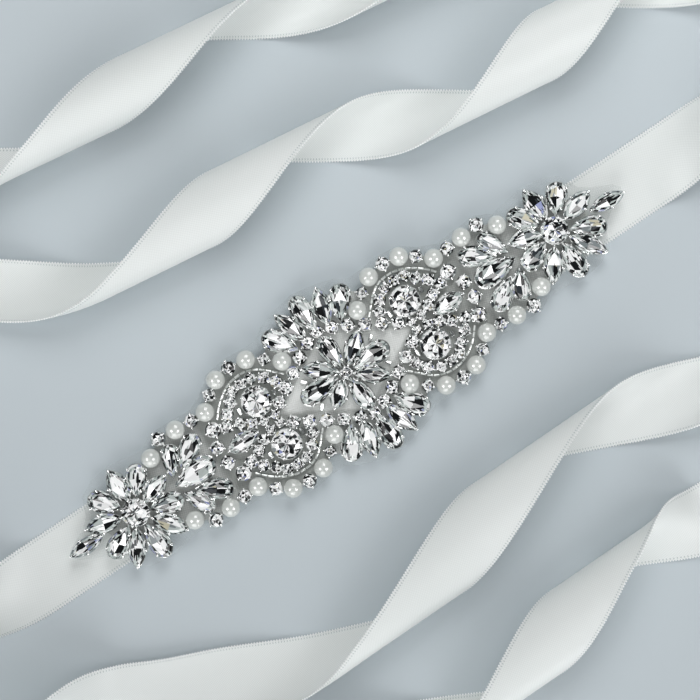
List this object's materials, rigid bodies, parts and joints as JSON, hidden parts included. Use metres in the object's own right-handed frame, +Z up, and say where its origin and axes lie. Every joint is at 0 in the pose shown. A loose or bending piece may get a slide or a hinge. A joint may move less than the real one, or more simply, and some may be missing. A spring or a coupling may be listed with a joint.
{
  "type": "bridal sash",
  "caption": "Narrow satin ribbon sash laid in loose serpentine turns, with a long symmetric crystal and pearl applique sewn to its middle.",
  "frame": {"origin": "on the supporting surface, under the middle of the applique", "axes": "+X along the applique towards its right tip, +Y across it towards the upper run of ribbon, +Z up from the surface"},
  "size_m": [0.5205, 0.2968, 0.0255],
  "materials": {
    "satin": "double-faced polyester satin with a fine cross weave and a dotted picot selvedge",
    "net": "stiffened grey-silver net backing",
    "set_crystal": "foil-backed clear crystal in silver prong cups",
    "pearl": "pearl lacquer, soft gloss"
  },
  "bodies": {
    "root": {"ribbon_middle": "satin", "ribbon_left_bend": "satin", "ribbon_upper_run": "satin", "ribbon_upper_bend": "satin", "ribbon_upper_tail": "satin", "ribbon_right_bend": "satin", "ribbon_lower_run": "satin", "ribbon_lower_bend": "satin", "ribbon_lower_tail": "satin", "applique_backing": "net", "chain_frame": "set_crystal", "flower_middle": "set_crystal", "flower_left": "set_crystal", "flower_right": "set_crystal", "cluster_left": "set_crystal", "cluster_right": "set_crystal", "scroll_left": "set_crystal", "scroll_right": "set_crystal", "fan_upper": "set_crystal", "fan_lower": "set_crystal", "border_upper_left": "pearl", "border_upper_right": "pearl", "border_lower_left": "pearl", "border_lower_right": "pearl"}
  },
  "joints": []
}
